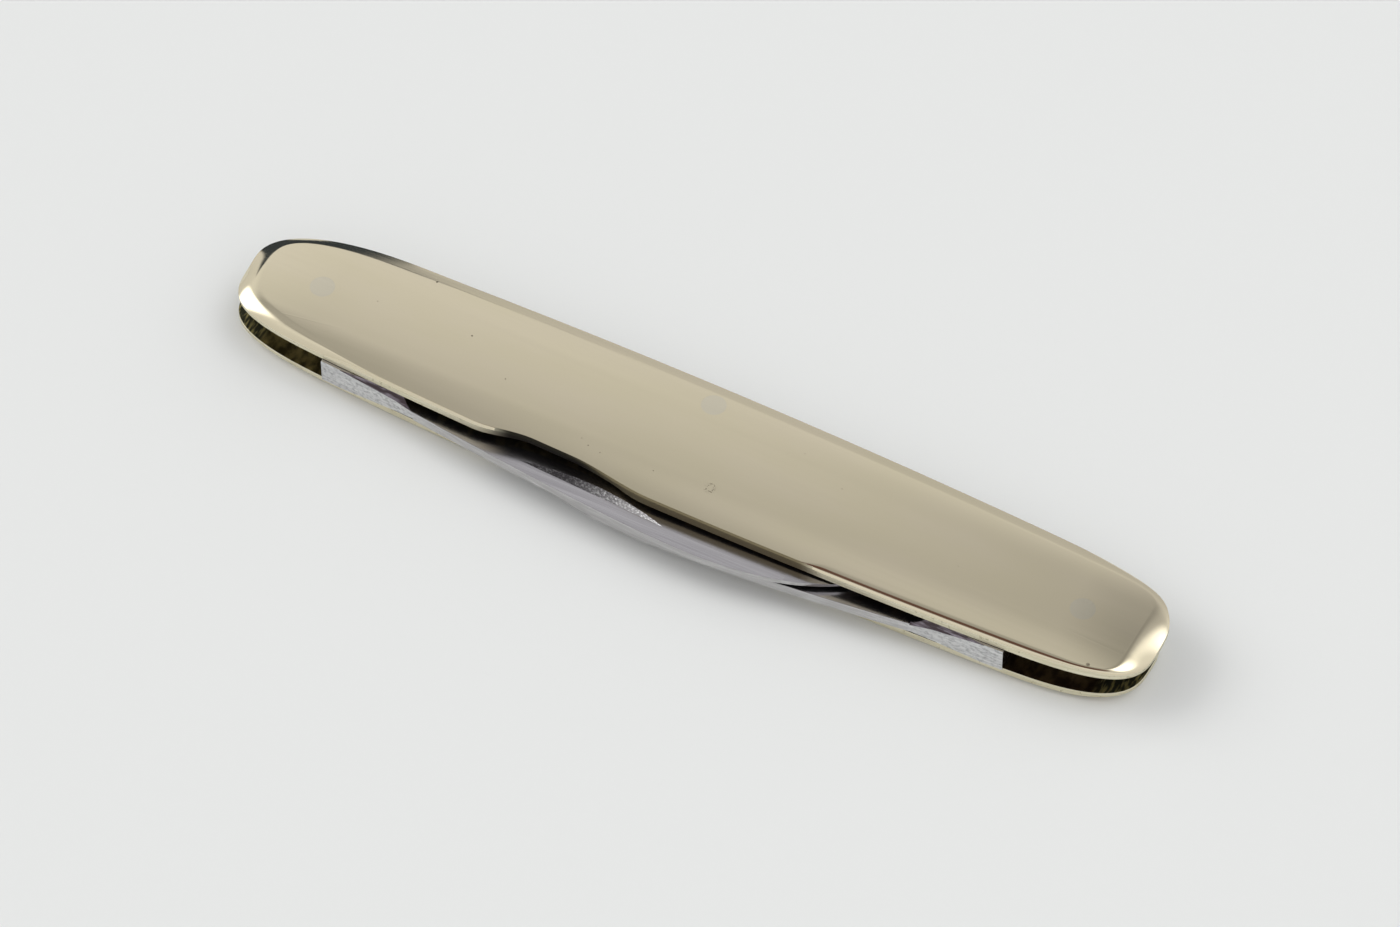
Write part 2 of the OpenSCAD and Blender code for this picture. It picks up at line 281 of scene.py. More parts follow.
# half length, and squareness of the corner at the rim and inside the rounded edge: the two
# stampings were ground by hand, and their ends differ a little
front_corners = {
    (-1, 1): (41.7 * mm, 2.6, 3.0), (-1, -1): (41.7 * mm, 4.0, 4.2),
    (1, 1): (41.95 * mm, 3.2, 8.0), (1, -1): (41.95 * mm, 3.6, 9.0),
}
back_corners = {
    (-1, 1): (42.0 * mm, 3.0, 3.6), (-1, -1): (42.0 * mm, 3.6, 4.2),
    (1, 1): (41.3 * mm, 3.0, 3.6), (1, -1): (41.3 * mm, 3.2, 4.2),
}


def arch(x):
    """Half the handle's width at a place along it"""
    return handle_w / 2 - side_sag * (x / half_l) ** 2


def mixed(a, b, t):
    """A number between two others, with t as the share of the second"""
    return a + (b - a) * t


def eased(low, high, value):
    """How far a value has come from one place to another, starting and ending softly"""
    share = min(1, max(0, (value - low) / (high - low)))
    return share * share * (3 - 2 * share)


def half_width(side, x):
    """How far out a side lies: the open one has the finger cut, steeper at its left"""
    if side > 0:
        return arch(x)
    return arch(x) - cut_depth * eased(*cut_left, x) * eased(*cut_right, x)


def worn_lip(x):
    """Share of the thin lip over the blades, along the finger cut and right of it"""
    return eased(*lip_left, x) * eased(*lip_right, x)


def edge_width(side, x, worn):
    """How far in the rounded edge reaches: little on the open side, more round the left end"""
    if side > 0:
        return closed_edge_w
    plain = mixed(open_edge_w, left_edge_w, eased(*left_edge_run, x))
    return mixed(plain, lip_w, worn * eased(*thin_left, x) * eased(*lip_right, x))


def edge_curve(x, y):
    """How suddenly the rounded edge begins: sharply on the closed side and at the right end"""
    open_side = eased(*curve_run, y) * eased(*right_curve_run, x)
    opened = mixed(open_curve, left_open_curve, eased(*left_curve_run, x))
    closed = mixed(closed_curve, left_closed_curve, eased(*left_closed_run, x))
    return mixed(closed, opened, open_side)


def rim_top(x, y, tall, worn):
    """Height of the upright rim, which is lower round the ends and higher at the worn lip"""
    low_end = max(eased(*low_left_run, x), eased(*low_right_run, x))
    open_rim = mixed(mixed(tall, end_rim, low_end), lip_rim, worn * worn_lip(x))
    left = eased(*left_closed_run, x)
    far_rim = mixed(closed_rim, left_closed_rim, left)
    return mixed(far_rim, open_rim, eased(mixed(rim_run[0], left_rim_start, left), rim_run[1], y))


def quarter_points(corners, worn, end, side, edge, inner):
    """One corner of an outline: a share of the way over the edge, then some way inwards"""
    corner_l, power, inner_power = corners[end, side]
    power = mixed(power, inner_power, edge)
    points = []
    for i in range(side_steps + end_steps + 1):
        if i < side_steps:
            x, share = end_start * i / side_steps, 1
        else:
            a = math.pi / 2 * (1 - (i - side_steps) / end_steps)
            ray = (math.cos(a) ** power + math.sin(a) ** power) ** (-1 / power)
            share = ray * math.sin(a)
            edge_in = mixed(tip_edge_l[end], corner_edge_l[end, side], eased(0, 1, share))
            reach = corner_l - end_start - edge_in * edge - inner * end_inset_share
            x = end_start + reach * ray * math.cos(a)
        inset = edge_width(side, end * x, worn) * edge + inner
        points.append((x, (half_width(side, end * x) - inset) * share))
    return points


def cover_loop(corners, worn, edge, inner=0):
    """The whole outline, anticlockwise from the middle of the closed side"""
    def corner(end, side):
        return [
            (end * x, side * y)
            for x, y in quarter_points(corners, worn, end, side, edge, inner)
        ]
    return corner(-1, 1) + corner(-1, -1)[-2::-1] + corner(1, -1)[1:] + corner(1, 1)[-2:0:-1]


def crown_z(x, y, rise):
    """Height of the crown over the inner face: nearly flat between the ridges, falling outside"""
    ridge = ridge_y - ridge_splay * x / half_l
    top = scale_t - dome_fall * (max(0, abs(x) - dome_start) / dome_l) ** 2
    out = abs(y) - ridge
    if out < 0:
        return top + rise * (1 - (y / ridge) ** 2)
    return top - crown_slope * out - crown_bend * out * out


def undercut(x, y, worn):
    """Share of the lip that is thinned from below, over the blades in the finger cut"""
    if y >= undercut_y:
        return 0
    return worn * eased(*cut_left, x) * eased(*undercut_right, x)


def cover_rings(corners, tall, worn, rise):
    """Loops from the inner face, up the rim, over the rounded edge and across the crown"""
    outline = cover_loop(corners, worn, 0)
    thinned = [undercut(x, y, worn) for x, y in outline]
    foot = cover_loop(corners, worn, 0, inner_chamfer)
    rings = [[(x, y + thin * lip_under, 0) for (x, y), thin in zip(foot, thinned)]]
    for share in (0, 0.5, 1):
        ring = []
        for (x, y), thin in zip(outline, thinned):
            low = inner_chamfer + thin * lip_foot
            ring.append((x, y, mixed(low, rim_top(x, y, tall, worn) - inner_chamfer, share)))
        rings.append(ring)
    for i in range(edge_steps + 1):
        ring = []
        for x, y in cover_loop(corners, worn, i / edge_steps):
            fall = (1 - i / edge_steps) ** edge_curve(x, y)
            top = crown_z(x, y, rise)
            ring.append((x, y, top - (top - rim_top(x, y, tall, worn)) * fall))
        rings.append(ring)
    for i in range(1, crown_steps + 1):
        loop = cover_loop(corners, worn, 1, ridge_y * i / crown_steps)
        rings.append([(x, y, crown_z(x, y, rise)) for x, y in loop])
    quarter = len(loop) // 4
    for i in range(1, middle_steps + 1):
        ring = []
        for number, (x, y) in enumerate(loop):
            from_middle = min(number % (2 * quarter), -number % (2 * quarter)) / quarter
            tip_x = loop[quarter if number < 2 * quarter else 3 * quarter][0]
            x = mixed(x, tip_x * from_middle, i / middle_steps)
            y = y * (1 - i / middle_steps)
            ring.append((x, y, crown_z(x, y, rise)))
        rings.append(ring)
    return rings


def lay_ring(piece, ring):
    """Puts the selected loop's points where they belong"""
    shape = bmesh.from_edit_mesh(piece.data)
    order = shape.verts.layers.int["order"]
    for point in shape.verts:
        if point.select:
            point.co = ring[point[order]]
    bmesh.update_edit_mesh(piece.data)


weld_gap = 0.000002


def drawn_up(name, rings):
    """A closed metal piece raised loop by loop from its foot"""
    bpy.ops.object.select_all(action="DESELECT")
    bpy.ops.mesh.primitive_circle_add(vertices=len(rings[0]), radius=half_l, fill_type="NGON")
    piece = bpy.context.object
    piece.name = name
    piece.data.name = name
    bpy.ops.object.mode_set(mode="EDIT")
    shape = bmesh.from_edit_mesh(piece.data)
    order = shape.verts.layers.int.new("order")
    for number, point in enumerate(shape.verts):
        point[order] = number
    lay_ring(piece, rings[0])
    for ring in rings[1:]:
        bpy.ops.mesh.extrude_region_move()
        lay_ring(piece, ring)
    bpy.ops.mesh.select_all(action="SELECT")
    bpy.ops.mesh.remove_doubles(threshold=weld_gap)
    bpy.ops.mesh.normals_make_consistent(inside=False)
    bpy.ops.object.mode_set(mode="OBJECT")
    return piece


def carve(piece, tool):
    """Takes the tool's shape out of the piece, and the tool away"""
    bpy.ops.object.select_all(action="DESELECT")
    tool.select_set(True)
    bpy.context.view_layer.objects.active = tool
    bpy.ops.object.transform_apply()
    bpy.context.view_layer.objects.active = piece
    cut = piece.modifiers.new("cut", "BOOLEAN")
    cut.object = tool
    cut.solver = "EXACT"
    cut.material_mode = "TRANSFER"
    bpy.ops.object.modifier_apply(modifier="cut")
    bpy.data.objects.remove(tool)


round_steps = 96
drill_l = 20 * mm


def bored(piece, x, y, radius):
    """Drills an upright hole through the piece"""
    bpy.ops.object.select_all(action="DESELECT")
    bpy.ops.mesh.primitive_cylinder_add(
        vertices=round_steps, radius=radius, depth=drill_l, location=(x, y, 0)
    )
    carve(piece, bpy.context.object)


def smoothed(piece, degrees):
    """Smooth shading, with every edge sharper than the angle kept crisp"""
    bpy.ops.object.select_all(action="DESELECT")
    piece.select_set(True)
    bpy.context.view_layer.objects.active = piece
    bpy.ops.object.shade_smooth_by_angle(angle=math.radians(degrees))


pivot_x = 35 * mm
spring_pin_x = -0.7 * mm
spring_pin_y = 4.35 * mm
pin_r = 1.05 * mm
pin_gap = 0.001 * mm
pin_places = ((-pivot_x, 0), (pivot_x, 0), (spring_pin_x, spring_pin_y))

# polished nickel silver: faint polishing lines along the handle, a little haze, a few small pits
nickel_silver, polish, metal = shaded("polished_nickel_silver", "ShaderNodeBsdfPrincipled")
place = metal.node("ShaderNodeTexCoord", {}, {}, 3)


def drawn_noise(start, place, stretch, detail):
    """Noise stretched by its own number of waves a metre along each axis"""
    laid = start.node("ShaderNodeMapping", {}, {"Vector": place, "Scale": stretch})
    return start.node(
        "ShaderNodeTexNoise", {}, {"Vector": laid, "Scale": 1.0, "Detail": detail}, 0
    )


def spot(start, place, x, y, radius):
    """Share of a small round mark on the handle, from 1 at its middle to 0 at its edge"""
    flat = start.node("ShaderNodeVectorMath", {"operation": "MULTIPLY"}, {0: place, 1: (1, 1, 0)})
    away = start.node(
        "ShaderNodeVectorMath", {"operation": "DISTANCE"},
        {0: flat, 1: (x * mm, y * mm, 0)}, 1,
    )
    return away.ranged(radius * mm, radius * mm * 0.4)


along, aside, _ = place.apart()
lines = drawn_noise(metal, place, (60, 5200, 5200), 3.0)
haze = drawn_noise(metal, place, (90, 240, 240), 2.0)
grain = drawn_noise(metal, place, (9000, 9000, 9000), 1.0)
pits = 0.0
for x, y, radius in (
    (-21.58, 1.29, 0.10), (-26.93, 4.97, 0.13), (37.74, -4.61, 0.2), (-17.0, -1.34, 0.07),
    (-7.8, -4.1, 0.08), (-8.6, -3.7, 0.06), (-6.6, -4.3, 0.06), (-1.9, -3.9, 0.07),
    (12.5, 1.6, 0.05), (24.3, -0.9, 0.05), (8.2, 3.4, 0.05), (-30.2, 0.8, 0.05),
):
    pits = pits + spot(metal, place, x, y, radius)
ring_x, ring_y = 3.0, -3.31
ring_mark = spot(metal, place, ring_x, ring_y, 0.62) - spot(metal, place, ring_x, ring_y, 0.42)
pits = pits + ring_mark.ranged(0.1, 0.5) * grain.ranged(0.52, 0.6) * 0.8
pits = pits * grain.ranged(0.3, 0.6, 0.6, 1.0)
clean = haze.ranged(0.3, 0.7).blended((0.735, 0.662, 0.485, 1), (0.75, 0.672, 0.505, 1))
metal_colour = (pits * 0.9).blended(clean, (0.16, 0.13, 0.09, 1))
metal.tree.links.new(metal_colour.socket, polish.inputs["Base Color"])
polish.inputs["Metallic"].default_value = 1
metal_rough = 0.085 + lines.ranged(0.35, 0.75) * 0.035 + haze.ranged(0.4, 0.8) * 0.02 + pits * 0.3
metal.tree.links.new(metal_rough.socket, polish.inputs["Roughness"])
# three fine scratches: along the open side's ridge, by the left end and across the right end
ridge_line = (aside + 2.2 * mm + (along - 25 * mm) * 0.019) / mm
ridge_mark = ridge_line.maths("ABSOLUTE", ridge_line).ranged(0.09, 0.0)
ridge_mark = ridge_mark * along.ranged(10 * mm, 30 * mm) * along.ranged(40.2 * mm, 40 * mm)
left_line = (aside + 3.6 * mm - (along + 34.7 * mm) * 0.17) / mm
left_mark = left_line.maths("ABSOLUTE", left_line).ranged(0.07, 0.0)
left_mark = left_mark * along.ranged(-37.2 * mm, -36 * mm) * along.ranged(-30 * mm, -33 * mm)
end_line = (along - 39.93 * mm - aside * 0.02) / mm
end_mark = end_line.maths("ABSOLUTE", end_line).ranged(0.06, 0.0) * aside.ranged(-2.6 * mm, -2.2 * mm)
surface_height = lines * 0.16 + haze * 1.6 - pits * 4 + ridge_mark + left_mark + end_mark
metal_bump = metal.node(
    "ShaderNodeBump", {}, {"Strength": 1.0, "Distance": 0.000001, "Height": surface_height}
)
metal.tree.links.new(metal_bump.socket, polish.inputs["Normal"])

# the upright rims, ground all round on a belt with the spring, left satin, and darkened with
# painted shade and reflection where the lip hangs over the blades
ground_rim_and_painted_shade, rim_finish, rim = shaded("ground_rim_and_painted_shade", "ShaderNodeBsdfPrincipled")
place = rim.node("ShaderNodeTexCoord", {}, {}, 3)
belt = drawn_noise(rim, place, (300, 300, 7000), 2.0)
burrs = drawn_noise(rim, place, (2600, 2600, 1500), 2.0)
rim_colour = belt.ranged(0.3, 0.7).blended((0.70, 0.65, 0.47, 1), (0.80, 0.76, 0.60, 1))
rim_colour = burrs.ranged(0.62, 0.72, 0.0, 0.5).blended(rim_colour, (0.36, 0.32, 0.18, 1))
along, aside, _ = place.apart()
# painted shade and reflection: the open rim and lip over the blades are darkened, near black toward
# the left
painted_shade_depth = (belt * 0.6 + along * 90 + 0.5).ranged(0.0, 0.6)
painted_shade_colour = painted_shade_depth.blended((0.004, 0.003, 0.002, 1), (0.21, 0.175, 0.10, 1))
painted_shade_share = along.ranged(*lip_left) * along.ranged(*lip_right) * aside.ranged(0, -mm)
rim_colour = (painted_shade_share * 0.97).blended(rim_colour, painted_shade_colour)
rim.tree.links.new(rim_colour.socket, rim_finish.inputs["Base Color"])
rim_finish.inputs["Metallic"].default_value = 1
rim.tree.links.new((0.34 + belt * 0.16).socket, rim_finish.inputs["Roughness"])
rim_bump = rim.node(
    "ShaderNodeBump", {}, {"Strength": 0.6, "Distance": 0.00002, "Height": burrs + belt * 0.3}
)
rim.tree.links.new(rim_bump.socket, rim_finish.inputs["Normal"])

# the unpolished inner faces: patchy brown tarnish, darkened to near black as painted shade inside
# the channel, and paler and scratched at the open ends, where the paleness is painted light
tarnish_painted_shade_and_light, dull, inside = shaded("inside_tarnish_painted_shade_and_light", "ShaderNodeBsdfPrincipled")
place = inside.node("ShaderNodeTexCoord", {}, {}, 3)
along, _, _ = place.apart()
# painted light: the inner faces turn paler past the tangs' ends, toward the open ends
painted_light_at_ends = along.maths("ABSOLUTE", along).ranged(37.9 * mm, 39.0 * mm)
patchy = drawn_noise(inside, place, (1100, 700, 700), 4.0)
streaks = drawn_noise(inside, place, (4200, 900, 900), 3.0)
olive = along.ranged(10 * mm, -30 * mm)
# painted shade: near black deep in the channel between the covers
painted_deep_shade = olive.blended((0.03, 0.018, 0.01, 1), (0.06, 0.048, 0.018, 1))
lighter = olive.blended((0.085, 0.055, 0.025, 1), (0.24, 0.19, 0.07, 1))
tarnish_and_painted_shade = patchy.ranged(0.38, 0.66).blended(painted_deep_shade, lighter)
scratched_painted_light = streaks.ranged(0.44, 0.68).blended((0.05, 0.05, 0.03, 1), (0.42, 0.36, 0.15, 1))
inner_colour = painted_light_at_ends.blended(tarnish_and_painted_shade, scratched_painted_light)
inside.tree.links.new(inner_colour.socket, dull.inputs["Base Color"])
dull.inputs["Metallic"].default_value = 1
inside.tree.links.new((0.34 + patchy * 0.3).socket, dull.inputs["Roughness"])
inner_bump = inside.node(
    "ShaderNodeBump", {}, {"Strength": 0.7, "Distance": 0.00003, "Height": patchy + streaks}
)
inside.tree.links.new(inner_bump.socket, dull.inputs["Normal"])

outer_slot, inner_slot, rim_slot = 0, 1, 2


def cover_slot(face, worn):
    """The material of one face of a cover: its inside, its rim with the lip, or its outside"""
    x, y, _ = face.center
    if face.normal.z < -0.9:
        return inner_slot
    # the lip's faces over the blades take the rim's material, with its painted shade and reflection
    lip = worn * worn_lip(x) > 0.5 and y < lip_face_w - half_width(-1, x)
    return rim_slot if lip or face.normal.z < 0.1 else outer_slot


for name, node, corners, tall, worn, rise in (
    ("front_cover", "front_scale", front_corners, front_rim, 1, centre_rise),
    ("back_cover", "back_scale", back_corners, back_rim, 0, 0),
):
    cover = drawn_up(name, cover_rings(corners, tall, worn, rise))
    for material in (nickel_silver, tarnish_painted_shade_and_light, ground_rim_and_painted_shade):
        cover.data.materials.append(material)
    for face in cover.data.polygons:
        face.material_index = cover_slot(face, worn)
    if rise:
        cover.data.transform(Matrix.Translation((0, 0, roof_z)))
    else:
        cover.data.transform(Matrix.Translation((0, 0, floor_z)) @ Matrix.Diagonal((1, 1, -1, 1)))
        cover.data.flip_normals()
    for x, y in pin_places:
        bored(cover, x, y, pin_r + pin_gap)
    smoothed(cover, 40)
    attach(cover, "handle")
    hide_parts(node)


# Backspring
# One bar of hardened spring steel lies between the covers along the closed side, pinned at its
# middle, with a thin arm to each end that bears on a blade's tang.
spring_arm_y = 3.64 * mm
spring_mid_y = 2.5 * mm
spring_mid_l = 30 * mm
spring_slope_l = 8 * mm
# each tang has a step that stops just past the spring's end when its blade is open
master_step_x = 3.2 * mm
pen_step_x = 4.1 * mm
spring_short = 0.06 * mm
spring_left = -pivot_x - master_step_x + spring_short
spring_right = pivot_x + pen_step_x - spring_short
bar_chamfer = 0.04 * mm


def drawn_in(loop, inset):
    """A loop moved inwards by an inset, corner by corner"""
    moved = []
    for i, here in enumerate(loop):
        before = Vector(loop[i - 1])
        after = Vector(loop[(i + 1) % len(loop)])
        here = Vector(here)
        one = (here - before).normalized()
        two = (after - here).normalized()
        side = Vector((-one.y, one.x)) + Vector((-two.y, two.x))
        side /= max(0.5, side.length_squared / 2)
        moved.append(tuple(here + side * inset))
    return moved


def slab(name, loop, low, high, chamfer):
    """An anticlockwise plan raised to a bar with fine chamfers"""
    small = drawn_in(loop, chamfer)
    return drawn_up(name, [
        [(x, y, low) for x, y in small],
        [(x, y, low + chamfer) for x, y in loop],
        [(x, y, high - chamfer) for x, y in loop],
        [(x, y, high) for x, y in small],
    ])


def side_y(x):
    """The covers' closed side, round their corners as well"""
    corner_l, power, _ = front_corners[-1, 1]
    beyond = max(0, (abs(x) - end_start) / (corner_l - end_start))
    return arch(x) * (1 - beyond ** power) ** (1 / power)


spring_steps = 120
spring_loop = [
    (spring_left, spring_arm_y),
    (-spring_mid_l / 2 - spring_slope_l, spring_arm_y),
    (-spring_mid_l / 2, spring_mid_y),
    (spring_mid_l / 2, spring_mid_y),
    (spring_mid_l / 2 + spring_slope_l, spring_arm_y),
    (spring_right, spring_arm_y),
] + [
    (x, side_y(x)) for x in (
        spring_right + (spring_left - spring_right) * i / spring_steps
        for i in range(spring_steps + 1)
    )
]
spring = slab("backspring_bar", spring_loop, floor_z, roof_z, bar_chamfer)
spring_steel, satin, metal = shaded("spring_steel", "ShaderNodeBsdfPrincipled")
place = metal.node("ShaderNodeTexCoord", {}, {}, 3)
stone_lines = drawn_noise(metal, place, (90, 6000, 6000), 3.0)
dark_spots = drawn_noise(metal, place, (1500, 1500, 1500), 3.0)
spring_colour = stone_lines.ranged(0.3, 0.7).blended((0.50, 0.49, 0.48, 1), (0.64, 0.62, 0.61, 1))
spring_colour = dark_spots.ranged(0.62, 0.74, 0.0, 0.7).blended(spring_colour, (0.2, 0.18, 0.17, 1))
metal.tree.links.new(spring_colour.socket, satin.inputs["Base Color"])
satin.inputs["Metallic"].default_value = 1
metal.tree.links.new((0.2 + stone_lines * 0.18).socket, satin.inputs["Roughness"])
spring_bump = metal.node(
    "ShaderNodeBump", {}, {"Strength": 0.5, "Distance": 0.000008, "Height": stone_lines}
)
metal.tree.links.new(spring_bump.socket, satin.inputs["Normal"])
spring.data.materials.append(spring_steel)
bored(spring, spring_pin_x, spring_pin_y, pin_r + pin_gap)
smoothed(spring, 30)
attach(spring, "handle")
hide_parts("backspring")


# Blades
# Each blade and its tang are one forging of carbon steel, hardened and ground: the tang's sides
# are flat, and the blade's faces taper from a broad back to the edge. Each turns on its own pin
# and has a long nail nick, the master blade on the front and the pen blade on the back.
tang_t = channel_h - 0.1 * mm
tang_flat = 3.5 * mm
cam_r = 3.56 * mm
tang_flat_l = 5.5 * mm
tang_l = 10.4 * mm
kick_y = 2.1 * mm
step_back_y = 6.0 * mm
tang_back_y = 6.35 * mm
shoulder_l = 1.8 * mm
kick_slope_l = 2.5 * mm
heel_l = 0.6 * mm
blade_start = tang_l + shoulder_l
back_rise_l = 6.6 * mm
back_rise = 0.85 * mm
back_level_l = 6.8 * mm
back_fall_l = 7 * mm
point_turn_l = 2.6 * mm
point_turn = 2.6 * mm
belly_l = 17 * mm
belly_straight_l = 8 * mm
belly_turn_l = 4 * mm
belly_turn = 3.2 * mm
back_t = 1.2 * mm
heel_t = 0.5 * mm
edge_t = 0.12 * mm
edge_y = 0.4 * mm
point_y = 4.6 * mm
shoulder_gap = 0.75 * mm
point_gap = 0.15 * mm
pass_gap = 0.29 * mm
bevel_t = 1.2 * mm
bevel_start = 0.15 * mm
bevel_slope = math.radians(40)
nick_l = 14.4 * mm
nick_w = 1.0 * mm
nick_depth = 0.3 * mm
nick_inset = 1.8 * mm
nick_slant = math.radians(2.6)
edge_over = 1 * mm
bore_gap = 0.05 * mm
blade_chamfer = 0.03 * mm
score_gap = 0.15 * mm
score_w = 0.001 * mm
shoulder_scores = 13
first_score = 11
long_scores = 9
back_steps = 40
curve_steps = 48
wheel_steps = 720


def bend(a, b, c, d, steps):
    """Points on a cubic curve, without its last one"""
    for i in range(steps):
        t = i / steps
        u = 1 - t
        yield tuple(
            u ** 3 * p + 3 * u * u * t * q + 3 * u * t * t * r + t ** 3 * s
            for p, q, r, s in zip(a, b, c, d)
        )


def blade_loop(length, step_x, top_x, top_y):
    """Plan of a blade and its tang, anticlockwise, with the pivot at the origin"""
    back = list(bend(
        (tang_l, -tang_back_y), (tang_l + back_rise_l, -tang_back_y - back_rise),
        (top_x - back_level_l, -top_y), (top_x, -top_y), back_steps,
    )) + list(bend(
        (top_x, -top_y), (top_x + back_fall_l, -top_y),
        (length - point_turn_l, -point_y - point_turn), (length, -point_y), curve_steps,
    ))
    edge = list(bend(
        (length, -point_y), (length - belly_turn_l, -point_y + belly_turn),
        (length - belly_l + belly_straight_l, edge_y), (length - belly_l, edge_y), curve_steps,
    )) + [(length - belly_l, edge_y)]
    flat_a = math.asin(tang_flat / cam_r)
    round_end = [
        (cam_r * math.cos(a), cam_r * math.sin(a)) for a in (
            math.pi - flat_a + 2 * flat_a * i / curve_steps for i in range(curve_steps + 1)
        )
    ]
    return (
        [(step_x, -tang_flat), (step_x, -step_back_y)] + back + edge
        + [
            (blade_start + heel_l, edge_y), (tang_l, kick_y),
            (tang_flat_l + kick_slope_l, kick_y), (tang_flat_l, tang_flat),
        ]
        + round_end
    )


def blade_heights(x, y, length, top_y):
    """Heights of a blade's inner and outer faces at a place in its plan"""
    x = min(max(x, 0), length)
    to_point = (x - blade_start) / (length - blade_start)
    outer = mixed(channel_h / 2 - shoulder_gap, channel_h / 2 - point_gap, to_point)
    shoulder = channel_h / 2 - shoulder_gap - back_t
    inner = mixed(shoulder, pass_gap / 2, (x - blade_start) / (pivot_x - blade_start))
    thin = mixed(heel_t, edge_t, to_point)
    middle = (outer + inner) / 2
    to_edge = (y + top_y) / (edge_y + edge_over + top_y)
    low = mixed(inner, middle - thin / 2, to_edge)
    high = mixed(outer, middle + thin / 2, to_edge)
    from_tang = eased(tang_l, blade_start, x)
    return mixed(-tang_t / 2, low, from_tang), mixed(tang_t / 2, high, from_tang)


def ground_blade(name, length, step_x, top_x, top_y):
    """Raises the plan, scores it crosswise and lengthwise, and sets the faces' heights"""
    loop = blade_loop(length, step_x, top_x, top_y)
    small = drawn_in(loop, blade_chamfer)
    part = 2 * blade_chamfer / tang_t
    piece = drawn_up(name, [
        [(x, y, -mm) for x, y in small],
        [(x, y, -mm * (1 - part)) for x, y in loop],
        [(x, y, mm * (1 - part)) for x, y in loop],
        [(x, y, mm) for x, y in small],
    ])
    scores = [(x * mm, 0, (1, 0, 0)) for x in range(first_score, int(length / mm))]
    scores += [(tang_l + score_gap * i, 0, (1, 0, 0)) for i in range(shoulder_scores)]
    scores += [(0, -y * mm, (0, 1, 0)) for y in range(long_scores)]
    bpy.ops.object.mode_set(mode="EDIT")
    for x, y, way in scores:
        bpy.ops.mesh.select_all(action="SELECT")
        bpy.ops.mesh.bisect(plane_co=(x, y, 0), plane_no=way, threshold=score_w)
    bpy.ops.object.mode_set(mode="OBJECT")
    for point in piece.data.vertices:
        x, y, z = point.co
        low, high = blade_heights(x, y, length, top_y)
        point.co.z = mixed(low, high, (z / mm + 1) / 2)
    return piece


def blade_nick(length, top_y, nick_x):
    """The round wheel that grinds a nail nick"""
    nick_r = ((nick_l / 2) ** 2 + nick_depth ** 2) / (2 * nick_depth)
    high = blade_heights(nick_x, -top_y, length, top_y)[1]
    end_high = blade_heights(length, -top_y, length, top_y)[1]
    start_high = blade_heights(blade_start, -top_y, length, top_y)[1]
    face_tilt = math.atan((end_high - start_high) / (length - blade_start))
    nick_tilt = math.atan(nick_depth / nick_w)
    bpy.ops.object.select_all(action="DESELECT")
    bpy.ops.mesh.primitive_cylinder_add(vertices=wheel_steps, radius=nick_r, depth=2 * nick_w)
    wheel = bpy.context.object
    wheel.data.transform(Matrix.Translation((0, -nick_r, nick_w)))
    wheel.data.transform(
        Matrix.Translation((nick_x, -top_y + nick_inset, high - nick_depth))
        @ Matrix.Rotation(-nick_slant, 4, "Z")
        @ Matrix.Rotation(-face_tilt, 4, "Y")
        @ Matrix.Rotation(nick_tilt - math.pi / 2, 4, "X")
    )
    return wheel


def back_bevel(step_x, side):
    """The stone that grinds the bevel along the edge of a tang's back"""
    rise = tang_t / 2 - bevel_start - bevel_t / 2
    run = blade_start - step_x
    bpy.ops.object.select_all(action="DESELECT")
    bpy.ops.mesh.primitive_cube_add(size=1)
    stone = bpy.context.object
    long, wide, tall = run + mm, 4 * mm, 2 * mm
    stone.data.transform(Matrix.Diagonal((long, wide, tall, 1)))
    stone.data.transform(Matrix.Translation((long / 2 - mm, wide / 2 - mm, tall / 2)))
    stone.data.transform(
        Matrix.Diagonal((1, 1, side, 1))
        @ Matrix.Translation((step_x, -tang_back_y, tang_t / 2 - bevel_start))
        @ Matrix.Rotation(math.atan(rise / run), 4, "Y")
        @ Matrix.Rotation(bevel_slope, 4, "X")
    )
    if side < 0:
        stone.data.flip_normals()
    return stone


# ground and wiped faces: lengthwise lines of the stone in a cool grey
ground_steel, ground, metal = shaded("ground_blade_steel", "ShaderNodeBsdfPrincipled")
place = metal.node("ShaderNodeTexCoord", {}, {}, 3)
fine = drawn_noise(metal, place, (70, 9000, 9000), 2.0)
broad = drawn_noise(metal, place, (18, 1900, 1900), 2.0)
shine = broad.ranged(0.38, 0.62).blended((0.435, 0.42, 0.44, 1), (0.535, 0.52, 0.54, 1))
shine = fine.ranged(0.3, 0.7, 0.0, 0.35).blended(shine, (0.395, 0.385, 0.41, 1))
metal.tree.links.new(shine.socket, ground.inputs["Base Color"])
ground.inputs["Metallic"].default_value = 1
metal.tree.links.new((0.13 + fine * 0.1 + broad * 0.06).socket, ground.inputs["Roughness"])
blade_bump = metal.node(
    "ShaderNodeBump", {}, {"Strength": 0.5, "Distance": 0.000004, "Height": fine + broad}
)
metal.tree.links.new(blade_bump.socket, ground.inputs["Normal"])

